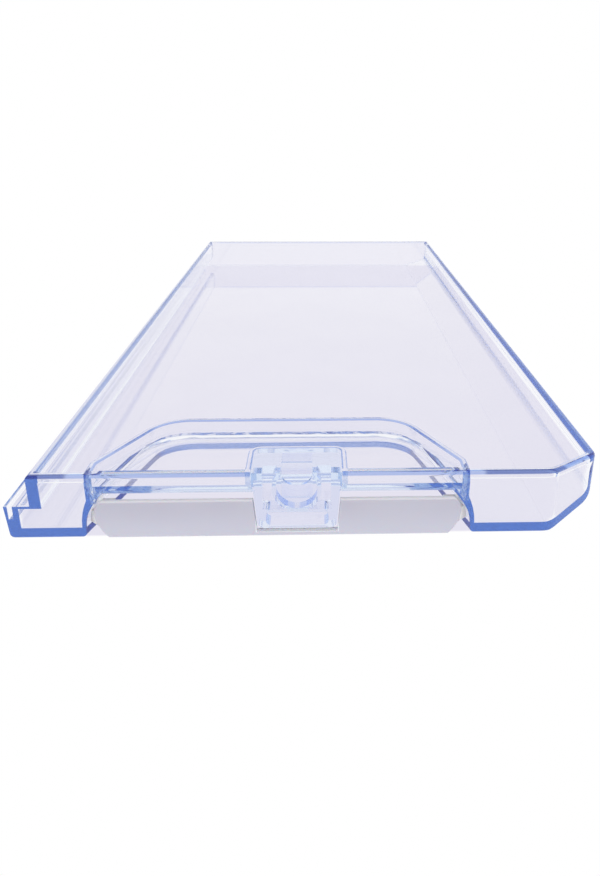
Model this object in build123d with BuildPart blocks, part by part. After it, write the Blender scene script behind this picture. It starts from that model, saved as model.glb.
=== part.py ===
from build123d import *
import os
from math import hypot

os.makedirs("parts", exist_ok=True)

# Door, lying on its front face: X across, Y along, Z towards the back, handle end at -Y
door_length = 460.0
door_width = 198.5
door_depth = 22.5
bar_stand_out = 1.5
near = -(door_length - bar_stand_out) / 2
far = near + door_length

# Walls of the tray
front_thickness = 2.7
end_wall = 2.2
slope_wall = 1.9
rim_band = 3.3
rim_band_height = 3.2
rim_round = 1.5
overcut = 1.0

# Lip along the left long edge, with its drip groove
lip_reach = 8.5
lip_lean = 0.8
fin_thickness = 1.2
groove_width = 1.6
groove_depth = 4.6
groove_wall = 1.4
ledge_top = 11.4
ledge_thickness = 1.5
lip_round = 1.5
lip_outer = -door_width / 2
rim_left = lip_outer + lip_reach
rim_right = door_width / 2
groove_right = lip_outer + fin_thickness + groove_width
under_lip = groove_right + groove_wall
rim_underside = door_depth - rim_band_height

# Sloped long edge on the right, its leaning wall and the cut-off corner at its handle end
slope_run = 18.0
slope_rise = 5.7
slope_bend_round = 4.0
wall_lean = 1.0
corner_length = 13.5
corner_near_round = 9.0
corner_side_round = 6.0
slope_start = rim_right - slope_run
wall_foot = rim_right - wall_lean
slope = slope_rise / (slope_run - wall_lean)
slope_lift = front_thickness * hypot(1, slope)
inner_slope_start = slope_start + (front_thickness - slope_lift) / slope
inner_wall_foot = wall_foot - slope_wall
inner_slope_top = (inner_wall_foot - slope_start) * slope + slope_lift

# Finger pocket, open at the front and at the handle end, with curved sides and a scooped back
pocket_from_rim = 81.1
pocket_half = 63.85
pocket_taper = 0.23
pocket_reach = 68.0
pocket_corner = 16.0
pocket_foot = 2.5
pocket_side_curve = 6.0
pocket_back_curve = 26.0
pocket_wall = 2.1
pocket_round = 1.3
shell_side_curve = 3.9
shell_above_roof_underside = 0.3
mouth_overrun = 6.0
mouth_round = 2.0
well_depth = 5.0
roof_thickness = 2.4
pocket_x = rim_left + pocket_from_rim
roof_top = door_depth - well_depth
roof_underside = roof_top - roof_thickness
shell_top = roof_underside + shell_above_roof_underside
roof_half = pocket_half - pocket_side_curve

# Border that stands round the sunk roof of the pocket
border_half = 63.0
border_straight = 10.0
border_taper = 0.45
border_reach = 48.8
border_corner = 17.0
border_wall = 2.4
border_round = 0.8
border_start = rim_band / 2
shell_back_curve = pocket_reach + pocket_wall - border_reach

# Pull handle, a strip across the mouth of the pocket, held by an arm at each end
bar_half = 60.65
bar_thickness = 2.7
bar_below_roof = 1.6
bar_bulge_below_top = 4.1
bar_front_inset = 4.05
bar_top_inset = 2.7
bar_foot = 1.8
bar_round = 1.0
arm_reach = 10.0
arm_bend = 5.0
arm_thickness = 2.5
arm_bottom = 4.0
arm_top = 9.0
bar_top = roof_underside - bar_below_roof
bar_bulge_height = bar_top - bar_bulge_below_top

# Catch housing and the niche it sits in
catch_from_rim = 87.0
catch_half = 14.85
catch_reach = 20.0
catch_set_in = 0.2
catch_round = 2.5
catch_leg_half = 13.1
catch_leg_top_half = 14.4
catch_leg_reach = 8.2
catch_leg_gap = 0.3
catch_leg_wall = 1.0
catch_side = 1.8
catch_plate = 1.1
nose_reach = 1.0
nose_width = 4.0
nose_height = 1.9
niche_clearance = 0.15
niche_wall = 1.8
niche_round = 0.5
notch_clearance = 0.3
catch_x = rim_left + catch_from_rim
catch_leg_bottom = bar_foot + catch_leg_gap

# Stud socket in the catch housing
socket_radius = 6.9
socket_below_rim = 5.9
socket_reach = 4.0
socket_wall = 1.3
dam_thickness = 1.5
slot_half = 5.15
slot_reach = 16.0
slot_depth = 6.3
slot_round = 4.0
head_space_depth = 11.7
side_hollow_wall = 1.5
shelf_below_socket = 0.5
shelf_thickness = 1.0
lower_window_half = 10.4
lower_window_sill = 1.3
lower_window_reach = 6.6
socket_height = door_depth - socket_below_rim
slot_bottom = door_depth - slot_depth
head_space_bottom = door_depth - head_space_depth
shelf_height = socket_height - socket_radius - shelf_below_socket
lower_window_bottom = catch_leg_bottom + lower_window_sill
lower_window_top = shelf_height - shelf_thickness
lower_window_round = (lower_window_top - lower_window_bottom) / 3

# Hinge holes in the side walls at the far end
hinge_radius = 2.5
hinge_from_end = 9.0
hinge_below_band = 3.8
hinge_z = rim_underside - hinge_below_band
hinge_y = far - hinge_from_end

# Planes of the sections that run along the door
hollow_plane = Plane(origin=(0, far - end_wall, 0), x_dir=(1, 0, 0), z_dir=(0, -1, 0))
section_plane = Plane(origin=(0, far, 0), x_dir=(1, 0, 0), z_dir=(0, -1, 0))
roof_edge = (pocket_x - roof_half, near, roof_underside)
roof_edge_plane = Plane(origin=roof_edge, x_dir=(0, 1, 0), z_dir=(1, 0, 0))
catch_face = Plane(origin=(catch_x, near + catch_set_in, 0), x_dir=(1, 0, 0), z_dir=(0, -1, 0))
nose_y = near + catch_leg_reach - catch_leg_wall
nose_plane = Plane(origin=(catch_x, nose_y, 0), x_dir=(1, 0, 0), z_dir=(0, -1, 0))


def outline_plan(left, inset):
    """Plan of the door inside its outer edge by an amount, from a left edge on, with its cut-off corner."""
    with BuildSketch() as plan:
        with BuildLine():
            Polyline(
                (left, near),
                (slope_start, near),
                (rim_right, near + corner_length),
                (rim_right, far),
                (left, far),
                close=True,
            )
        make_face()
        near_corner = plan.vertices().sort_by_distance((slope_start, near)).first
        fillet(near_corner, corner_near_round)
        side_corner = plan.vertices().sort_by_distance((rim_right, near + corner_length)).first
        fillet(side_corner, corner_side_round)
        if inset:
            offset(amount=-inset, kind=Kind.INTERSECTION)
    return plan.sketch


def pocket_plan(half, start, end, height):
    """Plan of the finger pocket at one height, from one distance behind the handle end to another."""
    wide = half - start * pocket_taper
    narrow = half - end * pocket_taper
    with BuildSketch(Plane(origin=(pocket_x, near, height))) as plan:
        with BuildLine():
            Polyline((-wide, start), (-narrow, end), (narrow, end), (wide, start), close=True)
        make_face()
        fillet(plan.vertices().group_by(Axis.Y)[-1], pocket_corner)
    return plan.sketch


def border_plan(inset, start, height):
    """Plan inside the border's outer edge by an amount, from a distance behind the handle end on."""
    bend = border_straight - inset * (hypot(1, border_taper) - 1) / border_taper
    wide = border_half - inset
    end = border_reach - inset
    narrow = wide - (end - bend) * border_taper
    with BuildSketch(Plane(origin=(pocket_x, near, height))) as plan:
        with BuildLine():
            Polyline(
                (-wide, start),
                (-wide, bend),
                (-narrow, end),
                (narrow, end),
                (wide, bend),
                (wide, start),
                close=True,
            )
        make_face()
        fillet(plan.vertices().group_by(Axis.Y)[-1], border_corner - inset)
    return plan.sketch


def niche_plan(grow, start):
    """Plan of the catch housing grown by an amount, from a distance behind the handle end on."""
    with BuildSketch() as plan:
        with Locations((catch_x, near + start)):
            Rectangle(2 * (catch_half + grow), catch_reach + grow - start, align=(Align.CENTER, Align.MIN))
        fillet(plan.vertices().group_by(Axis.Y)[-1], catch_round + grow)
    return plan.sketch


def leg_profile(grow, bottom):
    """Profile of the catch housing's leg grown by an amount, from a height up to the roof."""
    with BuildSketch() as profile:
        with BuildLine():
            Polyline(
                (-catch_leg_half - grow, bottom),
                (catch_leg_half + grow, bottom),
                (catch_leg_top_half + grow, roof_top),
                (-catch_leg_top_half - grow, roof_top),
                close=True,
            )
        make_face()
    return profile.sketch


def bar_profile(back):
    """Profile of the handle at a distance behind its front."""
    half = bar_half - back * pocket_taper
    foot_half = half - bar_front_inset
    top_half = half - bar_top_inset
    cut = Plane(origin=(pocket_x, near - bar_stand_out + back, 0), x_dir=(1, 0, 0), z_dir=(0, -1, 0))
    with BuildSketch(cut) as profile:
        with BuildLine():
            TangentArc((-half, bar_bulge_height), (-foot_half, 0), tangent=(0, -1))
            Line((-foot_half, 0), (foot_half, 0))
            TangentArc((half, bar_bulge_height), (foot_half, 0), tangent=(0, -1))
            TangentArc((half, bar_bulge_height), (top_half, bar_top), tangent=(0, 1))
            Line((top_half, bar_top), (-top_half, bar_top))
            TangentArc((-half, bar_bulge_height), (-top_half, bar_top), tangent=(0, 1))
        make_face()
    return profile.sketch


# Hollow of the tray below and beside the rim band
with BuildPart() as tray_hollow:
    with BuildSketch(hollow_plane) as hollow_section:
        with BuildLine():
            Polyline(
                (under_lip, front_thickness),
                (inner_slope_start, front_thickness),
                (inner_wall_foot, inner_slope_top),
                (rim_right - slope_wall, rim_underside),
                (rim_left + rim_band, rim_underside),
                (rim_left + rim_band, ledge_top - ledge_thickness),
                (under_lip, ledge_top - ledge_thickness),
                close=True,
            )
        make_face()
        lower_bend = hollow_section.vertices().sort_by_distance((inner_slope_start, front_thickness)).first
        fillet(lower_bend, slope_bend_round + front_thickness)
        upper_bend = hollow_section.vertices().sort_by_distance((inner_wall_foot, inner_slope_top)).first
        fillet(upper_bend, slope_bend_round)
    extrude(amount=door_length - 2 * end_wall)
    with BuildSketch():
        add(outline_plan(lip_outer, end_wall))
    extrude(amount=door_depth, mode=Mode.INTERSECT)

# Space for the fingers, open at the front and at the handle end
with BuildPart() as finger_space:
    for share in (0.0, 0.25, 0.5, 0.75, 1.0):
        level_half = pocket_half - pocket_side_curve * share**2
        level_reach = pocket_reach - pocket_back_curve * share**2
        level = pocket_foot + (roof_underside - pocket_foot) * share
        add(pocket_plan(level_half, -mouth_overrun, level_reach, level))
    loft()
    add(pocket_plan(pocket_half, -mouth_overrun, pocket_reach, -overcut))
    extrude(amount=pocket_foot + overcut)

    # Rounded edge of the roof over the handle
    with BuildSketch(roof_edge_plane):
        with BuildLine():
            Polyline(
                (mouth_round, 0),
                (-mouth_overrun, 0),
                (-mouth_overrun, mouth_round),
                (0, mouth_round),
            )
            CenterArc((mouth_round, mouth_round), mouth_round, 180, 90)
        make_face()
    extrude(amount=2 * roof_half)

# Shell of the pocket seen from the back
with BuildPart() as pocket_shell:
    for share in (0.0, 0.25, 0.5, 0.75, 1.0):
        level_half = pocket_half + pocket_wall - shell_side_curve * share**2
        level_reach = pocket_reach + pocket_wall - shell_back_curve * share**2
        level = pocket_foot + (shell_top - pocket_foot) * share
        add(pocket_plan(level_half, 0, level_reach, level))
    loft()

# Border round the sunk roof
with BuildPart() as border:
    add(border_plan(0, border_start, pocket_foot))
    extrude(amount=door_depth - pocket_foot)
    add(border_plan(border_wall, rim_band, roof_top))
    extrude(amount=door_depth, mode=Mode.SUBTRACT)
    border_edges = border.edges().group_by(Axis.Z)[-1]
    fillet(border_edges.filter_by(lambda edge: edge.center().Y > near + rim_band + overcut), border_round)

# Frame of the niche for the catch housing
with BuildPart() as niche:
    with BuildSketch(Plane.XY.offset(roof_underside)):
        add(niche_plan(niche_clearance + niche_wall, border_start))
    extrude(amount=door_depth - roof_underside)
    with BuildSketch(Plane.XY.offset(roof_top)):
        add(niche_plan(niche_clearance, 0))
    extrude(amount=door_depth, mode=Mode.SUBTRACT)
    niche_edges = niche.edges().group_by(Axis.Z)[-1]
    fillet(niche_edges.filter_by(lambda edge: edge.center().Y > near + rim_band), niche_round)

# Door panel: one clear moulding
with BuildPart() as door_panel:
    with BuildSketch(section_plane) as section:
        with BuildLine():
            Polyline(
                (lip_outer + lip_lean, 0),
                (slope_start, 0),
                (wall_foot, slope_rise),
                (rim_right, rim_underside),
                (rim_right, door_depth),
                (rim_left, door_depth),
                (rim_left, ledge_top),
                (groove_right, ledge_top),
                (groove_right, ledge_top - groove_depth),
                (groove_right - groove_width, ledge_top - groove_depth),
                (groove_right - groove_width, ledge_top),
                (lip_outer, ledge_top),
                close=True,
            )
        make_face()
        lip_corner = section.vertices().sort_by_distance((lip_outer + lip_lean, 0)).first
        fillet(lip_corner, lip_round)
        outer_lower_bend = section.vertices().sort_by_distance((slope_start, 0)).first
        fillet(outer_lower_bend, slope_bend_round)
        outer_upper_bend = section.vertices().sort_by_distance((wall_foot, slope_rise)).first
        fillet(outer_upper_bend, slope_bend_round + slope_wall)
    extrude(amount=door_length)
    with BuildSketch():
        add(outline_plan(lip_outer, 0))
    extrude(amount=door_depth, mode=Mode.INTERSECT)
    add(tray_hollow.part, mode=Mode.SUBTRACT)
    with BuildSketch(Plane.XY.offset(rim_underside)):
        add(outline_plan(rim_left, rim_band))
    extrude(amount=rim_band_height + overcut, mode=Mode.SUBTRACT)
    fillet(door_panel.edges().group_by(Axis.Z)[-1], rim_round)

    # Finger pocket and its border
    add(pocket_shell.part)
    add(border.part)
    add(niche.part)
    add(finger_space.part, mode=Mode.SUBTRACT)

    # Room for the catch housing and the hole for its leg
    with BuildSketch(Plane.XY.offset(roof_top)):
        add(niche_plan(niche_clearance, 0))
    extrude(amount=door_depth, mode=Mode.SUBTRACT)
    with BuildSketch():
        with Locations((catch_x, near)):
            Rectangle(
                2 * (catch_leg_top_half + niche_clearance),
                catch_leg_reach + niche_clearance,
                align=(Align.CENTER, Align.MIN),
            )
    extrude(amount=door_depth, mode=Mode.SUBTRACT)

    # Hinge holes through both side walls
    with BuildSketch(Plane(origin=(0, hinge_y, hinge_z), x_dir=(0, 1, 0), z_dir=(1, 0, 0))):
        Circle(hinge_radius)
    extrude(amount=door_width, both=True, mode=Mode.SUBTRACT)

    # Rounded edge of the pocket's mouth
    front_edges = door_panel.edges().group_by(Axis.Z)[0]
    mouth_end = near + pocket_reach + overcut
    mouth_edges = front_edges.filter_by(lambda edge: near + overcut < edge.center().Y < mouth_end)
    fillet(mouth_edges, pocket_round)
door_panel.part.label = "door_panel"
export_step(door_panel.part, "parts/door_panel.step")

# Arms of the handle, which spring against the sides of the pocket
with BuildPart() as handle_arms:
    with BuildSketch(Plane(origin=(pocket_x, near, arm_bottom))):
        for side in (-1, 1):
            root = side * (bar_half - arm_thickness)
            bend = side * (pocket_half + overcut)
            with BuildLine():
                Polyline(
                    (root, 0),
                    (side * (bar_half - bar_round), 0),
                    (bend, arm_bend),
                    (bend, arm_reach),
                    (root - side * arm_reach * pocket_taper, arm_reach),
                    close=True,
                )
            make_face()
    extrude(amount=arm_top - arm_bottom)
    add(finger_space.part, mode=Mode.INTERSECT)

# Pull handle: one white moulding
with BuildPart() as pull_handle:
    add(bar_profile(0))
    add(bar_profile(bar_thickness))
    loft()
    fillet(pull_handle.edges().group_by(Axis.Y)[0], bar_round)
    fillet(pull_handle.edges().group_by(Axis.Y)[-1], bar_round)
    add(handle_arms.part)

    # Notch for the leg of the catch housing
    with BuildSketch(catch_face):
        add(leg_profile(notch_clearance, bar_foot))
    extrude(amount=arm_reach, both=True, mode=Mode.SUBTRACT)
pull_handle.part.label = "pull_handle"
export_step(pull_handle.part, "parts/pull_handle.step")

# Catch housing: one clear moulding with the socket for the cabinet's stud
with BuildPart() as catch_housing:
    with BuildSketch(catch_face):
        with Locations((0, roof_top)):
            Rectangle(2 * catch_half, door_depth - roof_top, align=(Align.CENTER, Align.MIN))
    extrude(amount=-(catch_reach - catch_set_in))
    fillet(catch_housing.edges().filter_by(Axis.Z).group_by(Axis.Y)[-1], catch_round)
    with BuildSketch(catch_face) as leg_section:
        add(leg_profile(0, catch_leg_bottom))
        fillet(leg_section.vertices().group_by(Axis.Y)[0], catch_round)
    extrude(amount=-(catch_leg_reach - catch_set_in))

    # Noses that snap under the pocket's roof
    with BuildSketch(nose_plane):
        with BuildLine():
            Polyline(
                (-catch_leg_top_half - nose_reach, roof_underside),
                (catch_leg_top_half + nose_reach, roof_underside),
                (catch_leg_half, roof_underside - nose_height),
                (-catch_leg_half, roof_underside - nose_height),
                close=True,
            )
        make_face()
    extrude(amount=nose_width)

    # Slot for the stud's neck, round at its bottom
    with BuildSketch(catch_face) as slot_section:
        with Locations((0, slot_bottom)):
            Rectangle(2 * slot_half, door_depth, align=(Align.CENTER, Align.MIN))
        fillet(slot_section.vertices().group_by(Axis.Y)[0], slot_round)
    extrude(amount=-(catch_leg_reach - catch_set_in - catch_leg_wall), mode=Mode.SUBTRACT)
    with BuildSketch(Plane.XY.offset(roof_top + catch_plate)):
        with Locations((catch_x, near)):
            Rectangle(2 * slot_half, slot_reach, align=(Align.CENTER, Align.MIN))
    extrude(amount=door_depth, mode=Mode.SUBTRACT)

    # Round lead-in in front of the dam, and the space for the stud's head behind it
    with BuildSketch(catch_face):
        with Locations((0, socket_height)):
            Circle(socket_radius)
    extrude(amount=-socket_reach, mode=Mode.SUBTRACT)
    with BuildSketch(Plane.XY.offset(head_space_bottom)):
        with Locations((catch_x, near + catch_set_in + socket_reach + dam_thickness)):
            Rectangle(
                2 * slot_half,
                catch_leg_reach - catch_set_in - socket_reach - dam_thickness - catch_leg_wall,
                align=(Align.CENTER, Align.MIN),
            )
    extrude(amount=door_depth, mode=Mode.SUBTRACT)

    # Hollows beside the socket, open at the handle end
    with BuildSketch(catch_face):
        with Locations((0, shelf_height)):
            Rectangle(
                2 * (catch_leg_half - catch_side),
                door_depth - catch_plate - shelf_height,
                align=(Align.CENTER, Align.MIN),
            )
        with Locations((0, socket_height)):
            Circle(socket_radius + socket_wall, mode=Mode.SUBTRACT)
        with Locations((0, socket_height)):
            Rectangle(
                2 * (slot_half + socket_wall),
                door_depth,
                align=(Align.CENTER, Align.MIN),
                mode=Mode.SUBTRACT,
            )
    extrude(amount=-(catch_leg_reach - catch_set_in - side_hollow_wall), mode=Mode.SUBTRACT)

    # Lower window
    with BuildSketch(catch_face) as window_section:
        with Locations((0, lower_window_bottom)):
            Rectangle(
                2 * lower_window_half,
                lower_window_top - lower_window_bottom,
                align=(Align.CENTER, Align.MIN),
            )
        fillet(window_section.vertices(), lower_window_round)
    extrude(amount=-(lower_window_reach - catch_set_in), mode=Mode.SUBTRACT)
catch_housing.part.label = "catch_housing"
export_step(catch_housing.part, "parts/catch_housing.step")
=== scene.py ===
import math

import bmesh
import bpy
from mathutils import Matrix, Vector


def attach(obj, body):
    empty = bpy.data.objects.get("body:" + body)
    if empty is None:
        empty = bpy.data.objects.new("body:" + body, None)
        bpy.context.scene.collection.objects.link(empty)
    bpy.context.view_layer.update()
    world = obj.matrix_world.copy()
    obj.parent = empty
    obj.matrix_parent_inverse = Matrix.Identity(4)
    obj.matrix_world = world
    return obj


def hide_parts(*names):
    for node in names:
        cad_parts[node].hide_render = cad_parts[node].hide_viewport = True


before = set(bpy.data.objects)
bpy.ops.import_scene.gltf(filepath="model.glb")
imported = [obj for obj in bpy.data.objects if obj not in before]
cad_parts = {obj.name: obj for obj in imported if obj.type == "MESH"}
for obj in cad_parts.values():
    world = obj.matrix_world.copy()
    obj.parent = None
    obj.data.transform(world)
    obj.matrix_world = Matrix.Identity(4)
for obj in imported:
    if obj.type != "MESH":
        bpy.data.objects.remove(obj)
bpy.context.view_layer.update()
scene = bpy.context.scene

MM = 0.001

# Mouldings
hard_edge = math.radians(34)
weld_distance = 0.001 * MM
seat_clearance = 0.03 * MM

# Where the door's finish changes: each change starts and ends at these millimetres along its axis
near_rim_back = (-226.0, -225.0)
lip_wall = (-86.0, -80.0)
pocket_left = (-79.0, -77.0)
pocket_right = (57.0, 59.0)
far_half = (0.0, 225.0)
end_wall = (223.5, 225.5)
rim_crown = (20.3, 21.0)

# The same for the catch and the handle
catch_edges = (2.0, 2.7)
handle_height = (0.0, 13.0)
handle_back = (-229.0, -228.3)
catch_leg_height = 8.0
recess_gap = 0.4
recess_soft_edge = 0.1

# Where the door's painted lilac shadow lies on the floor, in millimetres
shade_near = (-229.0, -227.5)
shade_far = (227.0, 232.0)
shade_left = (-98.5, -96.5)
shade_right = (79.0, 81.0)
lip_stretch = (-228.0, -205.0)
lip_widening = 9.0
cut_corner_stretch = (-229.0, -204.0)
cut_corner_widening = 21.0
slope_stretch = (-205.0, -165.0)
slope_widening = 13.0


class Wire:
    """A socket of a shader tree that can be used in sums."""

    def __init__(self, tree, socket):
        self.tree = tree
        self.socket = socket

    def maths(self, operation, first, second):
        node = self.tree.nodes.new("ShaderNodeMath")
        node.operation = operation
        for slot, value in zip(node.inputs, (first, second)):
            if isinstance(value, Wire):
                self.tree.links.new(value.socket, slot)
            else:
                slot.default_value = value
        return Wire(self.tree, node.outputs[0])

    def __add__(self, other):
        return self.maths("ADD", self, other)

    def __radd__(self, other):
        return self.maths("ADD", other, self)

    def __sub__(self, other):
        return self.maths("SUBTRACT", self, other)

    def __rsub__(self, other):
        return self.maths("SUBTRACT", other, self)

    def __mul__(self, other):
        return self.maths("MULTIPLY", self, other)

    def __rmul__(self, other):
        return self.maths("MULTIPLY", other, self)


class Finish:
    """A node tree that is filled one node at a time."""

    def __init__(self, tree):
        self.tree = tree
        tree.nodes.clear()

    def add(self, kind, settings=None, sockets=None, output=0):
        """Adds a node: its settings first, then its sockets, by name or number."""
        node = self.tree.nodes.new(kind)
        for name, value in (settings or {}).items():
            setattr(node, name, value)
        for name, value in (sockets or {}).items():
            socket = node.inputs[name]
            if isinstance(value, Wire):
                self.tree.links.new(value.socket, socket)
            elif isinstance(value, tuple) and socket.type == "RGBA":
                socket.default_value = (*value, 1.0)
            else:
                socket.default_value = value
        return Wire(self.tree, node.outputs[output]) if node.outputs else None

    def place(self):
        return self.add("ShaderNodeTexCoord", output="Object")

    def along(self, vector, axis):
        return self.add("ShaderNodeSeparateXYZ", {}, {"Vector": vector}, output=axis)

    def noise(self, place, scale, detail, roughness=0.5):
        sockets = {"Vector": place, "Scale": scale, "Detail": detail, "Roughness": roughness}
        return self.add("ShaderNodeTexNoise", {}, sockets)

    def stretch(self, place, scale):
        return self.add("ShaderNodeMapping", {}, {"Vector": place, "Scale": scale})

    def band(self, value, low, high):
        """Nought below low, one above high, and a smooth change between them."""
        return self.add(
            "ShaderNodeMapRange",
            {"interpolation_type": "SMOOTHSTEP"},
            {"Value": value, "From Min": low, "From Max": high},
        )

    def past(self, distance, change):
        """Nought before a change and one past it, for a change that is given in millimetres."""
        start, end = change
        return self.band(distance, start * MM, end * MM)

    def blend(self, factor, first, second):
        """A mix of two colours; a Mix node's colour sockets have numbers, because their names repeat."""
        first_colour = 6
        second_colour = 7
        mixed_colour = 2
        return self.add(
            "ShaderNodeMix",
            {"data_type": "RGBA"},
            {"Factor": factor, first_colour: first, second_colour: second},
            output=mixed_colour,
        )

    def flatness(self):
        """One on faces that lie level, nought on upright ones."""
        normal = self.add("ShaderNodeNewGeometry", output="True Normal")
        return self.add("ShaderNodeMath", {"operation": "ABSOLUTE"}, {0: self.along(normal, "Z")})

    def relief(self, height, depth, strength):
        return self.add("ShaderNodeBump", {}, {"Height": height, "Distance": depth, "Strength": strength})


def new_material(name):
    material = bpy.data.materials.new(name)
    material.use_nodes = True
    return material, Finish(material.node_tree)


def painted_edge_shade(finish, place, flatness, tint, edge, near_edge_painted_shade, edge_change):
    """Adds painted blue shade to rounded edges, in place of the dark lines that bent light draws there:
    weak on the lip's wall and far away, deep at the near rim.
    """
    lip_share = 0.12
    far_loss = 0.7
    across = finish.along(place, "X")
    length = finish.along(place, "Y")
    slanted = finish.band(flatness, 0.15, 0.35) * (1.0 - finish.band(flatness, 0.985, 0.995))
    rounded = slanted * finish.past(finish.along(place, "Z"), edge_change)
    beyond_lip = finish.past(across, lip_wall)
    by_side = lip_share + beyond_lip * (1.0 - lip_share)
    by_distance = 1.0 - finish.past(length, far_half) * far_loss
    # Painted blue shade on rounded edges, weaker on the lip's wall and far away
    tint = finish.blend(rounded * by_side * by_distance, tint, edge)
    # Deepest painted blue shade on the near rim, beside the pocket
    near_rim = 1.0 - finish.past(length, near_rim_back)
    left_of_pocket = 1.0 - finish.past(across, pocket_left)
    right_of_pocket = finish.past(across, pocket_right)
    beside_pocket = near_rim * (left_of_pocket + right_of_pocket)
    return finish.blend(rounded * beside_pocket, tint, near_edge_painted_shade)


def clear_plastic(
    name, pale, deep, wall, far_wall_painted_shade, edge, near_edge_painted_shade, edge_change, index, gloss, absorb_colour, absorb
):
    """Clear moulded plastic: tinted a little face on, and deep blue where light runs along a wall;
    painted shade can darken its far end wall, and painted blue shade lines its rounded edges.
    """
    handling_roughness = 0.012
    scuff_roughness = 0.015
    ripple_depth = 0.02 * MM
    material, finish = new_material(name)
    place = finish.place()
    flatness = finish.flatness()

    # Tint, with painted shade on the far end wall and painted blue shade on rounded edges
    cloud = finish.noise(place, scale=22.0, detail=3.0)
    level = finish.blend(finish.band(cloud, 0.35, 0.65), pale, deep)
    # Painted shade: the far end wall takes a darker lilac colour than the other walls
    upright = finish.blend(finish.past(finish.along(place, "Y"), end_wall), wall, far_wall_painted_shade)
    tint = finish.blend(finish.band(flatness, 0.3, 0.9), upright, level)
    tint = painted_edge_shade(finish, place, flatness, tint, edge, near_edge_painted_shade, edge_change)

    # Marks of handling, hairline scuffs along the door and the slight ripple of a moulded face
    handling = finish.band(finish.noise(place, scale=61.0, detail=5.0, roughness=0.62), 0.52, 0.74)
    hairline = finish.noise(finish.stretch(place, (900.0, 60.0, 60.0)), scale=1.0, detail=2.0)
    scuffs = finish.band(hairline, 0.66, 0.78)
    ripple = finish.noise(place, scale=38.0, detail=1.0)
    plastic = finish.add(
        "ShaderNodeBsdfPrincipled",
        {},
        {
            "Base Color": tint,
            "Roughness": gloss + handling * handling_roughness + scuffs * scuff_roughness,
            "IOR": index,
            "Transmission Weight": 1.0,
            "Normal": finish.relief(ripple, ripple_depth, strength=0.08),
        },
    )
    depth = finish.add("ShaderNodeVolumeAbsorption", {}, {"Color": absorb_colour, "Density": absorb})
    finish.add("ShaderNodeOutputMaterial", {}, {"Surface": plastic, "Volume": depth})
    return material


def under_leg_light_mask(finish, place):
    """One on the part of the handle that the catch's leg covers, nought elsewhere; painted light goes
    there.
    """
    corners = [vertex.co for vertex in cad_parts["catch_housing"].data.vertices]
    leg = [corner.x / MM for corner in corners if corner.z < catch_leg_height * MM]
    foot = min(corner.z for corner in corners) / MM
    outer = recess_gap + recess_soft_edge
    across = finish.along(place, "X")
    from_left = finish.past(across, (min(leg) - outer, min(leg) - recess_gap))
    from_right = 1.0 - finish.past(across, (max(leg) + recess_gap, max(leg) + outer))
    from_foot = finish.past(finish.along(place, "Z"), (foot - outer, foot - recess_gap))
    return from_left * from_right * from_foot


def white_handle_plastic():
    """White moulded plastic with a satin grain; its colour is painted shade, grey and darker higher up,
    with painted light on top, behind and under the catch's leg.
    """
    # Painted shade: grey in place of the white plastic's shadowed front, darker higher up
    painted_shade_low = (0.625, 0.625, 0.735)
    painted_shade_high = (0.535, 0.525, 0.625)
    painted_shade_clouded = (0.60, 0.595, 0.69)
    # Painted light: paler colours on top, behind the handle and under the catch's leg
    painted_light_top = (0.84, 0.84, 0.90)
    painted_light_back = (0.92, 0.92, 0.96)
    painted_light_under_leg = (0.90, 0.93, 1.0)
    grain_depth = 0.05 * MM
    material, finish = new_material("white handle plastic")
    place = finish.place()

    # Colour: painted shade in grey with random clouds, and painted light on top, behind and under the
    # catch's leg
    clouded = finish.band(finish.noise(place, scale=30.0, detail=3.0), 0.3, 0.7)
    rise = finish.past(finish.along(place, "Z"), handle_height)
    colour = finish.blend(clouded * 0.5, finish.blend(rise, painted_shade_low, painted_shade_high), painted_shade_clouded)
    # Painted light on the upper level faces, behind the handle and under the catch's leg
    colour = finish.blend(finish.band(finish.flatness(), 0.35, 0.95) * rise, colour, painted_light_top)
    colour = finish.blend(finish.past(finish.along(place, "Y"), handle_back), colour, painted_light_back)
    colour = finish.blend(under_leg_light_mask(finish, place), colour, painted_light_under_leg)

    # Satin grain on a slightly wavy face
    grain = finish.noise(place, scale=2600.0, detail=2.0)
    wave = finish.noise(place, scale=90.0, detail=2.0)
    plastic = finish.add(
        "ShaderNodeBsdfPrincipled",
        {},
        {
            "Base Color": colour,
            "Roughness": 0.34 + clouded * 0.06 + grain * 0.05,
            "IOR": 1.49,
            "Subsurface Weight": 0.15,
            "Subsurface Scale": 2.0 * MM,
            "Normal": finish.relief(grain * 0.6 + wave * 0.4, grain_depth, strength=0.12),
        },
    )
    finish.add("ShaderNodeOutputMaterial", {}, {"Surface": plastic})
    return material


def moulding(node, name, plastic, sink=0.0):
    """A smooth copy of a moulding, with its loose triangles joined and its hard edges kept."""
    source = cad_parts[node].data
    work = bmesh.new()
    corners = [work.verts.new(vertex.co) for vertex in source.vertices]
    for polygon in source.polygons:
        work.faces.new([corners[i] for i in polygon.vertices])
    bmesh.ops.remove_doubles(work, verts=work.verts, dist=weld_distance)
    work.normal_update()
    moves = [vertex.normal * sink for vertex in work.verts]
    for vertex, move in zip(work.verts, moves):
        vertex.co -= move
    for edge in work.edges:
        edge.smooth = edge.calc_face_angle(0.0) < hard_edge
    for face in work.faces:
        face.smooth = True
    mesh = bpy.data.meshes.new(name)
    work.to_mesh(mesh)
    work.free()
    piece = bpy.data.objects.new(name, mesh)
    scene.collection.objects.link(piece)
    even = piece.modifiers.new("even shading", "WEIGHTED_NORMAL")
    even.keep_sharp = True
    even.weight = 100
    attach(piece, "root")
    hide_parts(node)
    piece.data.materials.append(plastic)


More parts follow.
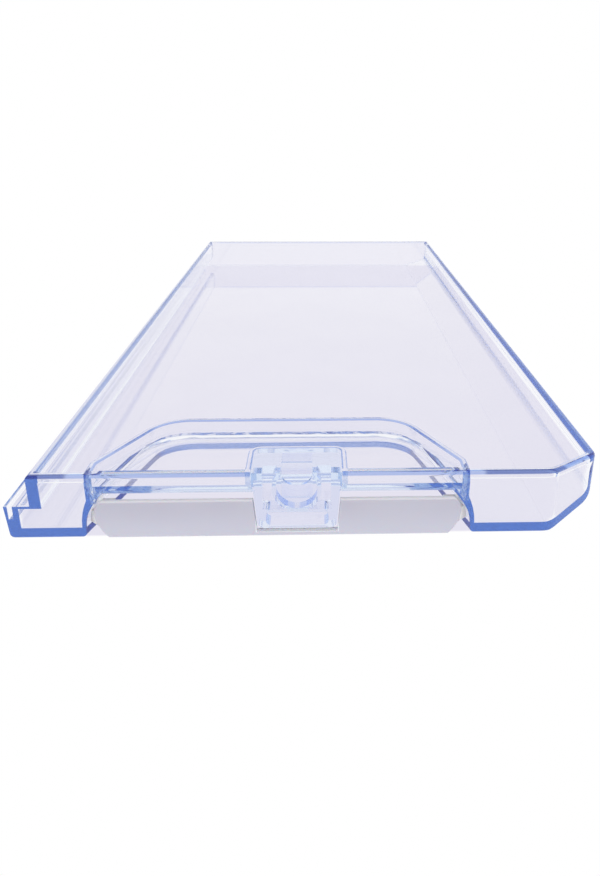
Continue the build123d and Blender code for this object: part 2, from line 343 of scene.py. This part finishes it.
# Plastics
blue_along_walls = (0.20, 0.48, 0.845)
door_plastic = clear_plastic(
    "clear blue door plastic",
    pale=(0.97, 0.965, 0.985),
    deep=(0.955, 0.95, 0.975),
    wall=(0.985, 0.985, 0.995),
    # Painted shade on the far end wall
    far_wall_painted_shade=(0.87, 0.86, 0.93),
    # Painted blue shade on rounded edges, deepest at the near rim
    edge=(0.29, 0.43, 0.85),
    near_edge_painted_shade=(0.045, 0.085, 0.36),
    edge_change=rim_crown,
    index=1.57,
    gloss=0.012,
    absorb_colour=blue_along_walls,
    absorb=6.5,
)
catch_wall = (0.935, 0.955, 1.0)
# Painted blue shade for the catch's rounded edges
catch_edge_painted_shade = (0.55, 0.68, 1.0)
catch_plastic = clear_plastic(
    "clear catch plastic",
    pale=(0.955, 0.97, 1.0),
    deep=(0.945, 0.96, 1.0),
    wall=catch_wall,
    far_wall_painted_shade=catch_wall,
    edge=catch_edge_painted_shade,
    near_edge_painted_shade=catch_edge_painted_shade,
    edge_change=catch_edges,
    index=1.50,
    gloss=0.03,
    absorb_colour=blue_along_walls,
    absorb=16.0,
)
handle_plastic = white_handle_plastic()

# Pieces; the handle and the catch are sunk a little, so that faces that touch share no surface
moulding("door_panel", "clear_door_panel", door_plastic)
moulding("pull_handle", "white_pull_handle", handle_plastic, sink=seat_clearance)
moulding("catch_housing", "clear_catch_housing", catch_plastic, sink=seat_clearance)


def shaded_floor_material():
    """A white floor that gives light, with a painted lilac shadow of the door where the door covers it.
    """
    white = (1.0, 1.0, 1.0)
    # Colour of the door's painted shadow on the floor
    lilac = (0.785, 0.765, 0.868)
    material, finish = new_material("lit white floor")
    place = finish.place()
    across = finish.along(place, "X")
    length = finish.along(place, "Y")
    lip_lead = finish.past(length, lip_stretch) * (lip_widening * MM)
    corner_lead = finish.past(length, cut_corner_stretch) * (cut_corner_widening * MM)
    slope_lead = finish.past(length, slope_stretch) * (slope_widening * MM)
    # Painted lilac shadow of the door, widened at the lip, the cut corner and the slope
    painted_shadow_mask = finish.past(across + lip_lead, shade_left)
    painted_shadow_mask = painted_shadow_mask * (1.0 - finish.past(across - corner_lead - slope_lead, shade_right))
    painted_shadow_mask = painted_shadow_mask * finish.past(length, shade_near) * (1.0 - finish.past(length, shade_far))
    glow = finish.add(
        "ShaderNodeEmission", {}, {"Color": finish.blend(painted_shadow_mask, white, lilac), "Strength": 1.0}
    )
    finish.add("ShaderNodeOutputMaterial", {}, {"Surface": glow})
    return material


# Floor
reach = 6.0
floor_z = -0.3 * MM
floor_outline = ((-reach, -reach), (reach, -reach), (reach, reach), (-reach, reach))
floor_corners = [(x, y, floor_z) for x, y in floor_outline]
floor_mesh = bpy.data.meshes.new("studio floor")
floor_mesh.from_pydata(floor_corners, [], [(0, 1, 2, 3)])
floor_mesh.materials.append(shaded_floor_material())
floor = bpy.data.objects.new("studio floor", floor_mesh)
scene.collection.objects.link(floor)

# Soft studio light all round: a little brighter low down and a little dimmer in front of the door
main_light = 0.97
low_gain = 0.03
front_loss = 0.05
horizon_tilt = 0.04
world = bpy.data.worlds.new("soft studio")
world.use_nodes = True
scene.world = world
sky = Finish(world.node_tree)
direction = sky.add("ShaderNodeTexCoord", output="Generated")
front = sky.band(sky.along(direction, "Y") * -1.0, 0.0, 0.8)
tilted_height = sky.along(direction, "Z") - sky.along(direction, "X") * horizon_tilt
low = 1.0 - sky.band(tilted_height, 0.20, 0.26)
strength = main_light + low * low_gain - front * front_loss
light = sky.add("ShaderNodeBackground", {}, {"Color": (1.0, 1.0, 1.0), "Strength": strength})
sky.add("ShaderNodeOutputWorld", {}, {"Surface": light})

# Camera low in front of the handle end, as it was fitted to the photograph
picture_width_px = 600.0
picture_height_px = 876.0
focal_length_px = 773.0
centre_across_px = 344.6
sensor_size = 36.0
pitch = math.radians(23.35)
yaw = math.radians(1.96)
roll = math.radians(-0.27)
eye = Vector((0.00415, -0.45455, 0.1321))
ahead = Vector((math.sin(yaw) * math.cos(pitch), math.cos(yaw) * math.cos(pitch), -math.sin(pitch)))
level_right = Vector((math.cos(yaw), -math.sin(yaw), 0.0))
level_down = ahead.cross(level_right)
right = level_right * math.cos(roll) + level_down * math.sin(roll)
down = level_down * math.cos(roll) - level_right * math.sin(roll)
camera_data = bpy.data.cameras.new("camera")
camera_data.sensor_width = sensor_size
camera_data.lens = focal_length_px / picture_height_px * sensor_size
camera_data.shift_x = (picture_width_px / 2 - centre_across_px) / picture_height_px
camera_data.clip_start = 10.0 * MM
camera = bpy.data.objects.new("camera", camera_data)
scene.collection.objects.link(camera)
turn = Matrix((right, -down, -ahead)).transposed().to_4x4()
camera.matrix_world = Matrix.Translation(eye) @ turn
scene.camera = camera

# Light runs a long way inside the clear walls before it comes out
wall_bounces = 400
scene.view_settings.view_transform = "Standard"
scene.cycles.max_bounces = wall_bounces
scene.cycles.transmission_bounces = wall_bounces
scene.cycles.glossy_bounces = wall_bounces
scene.cycles.diffuse_bounces = 24
scene.cycles.transparent_max_bounces = 16
scene.cycles.caustics_refractive = True
scene.cycles.caustics_reflective = True
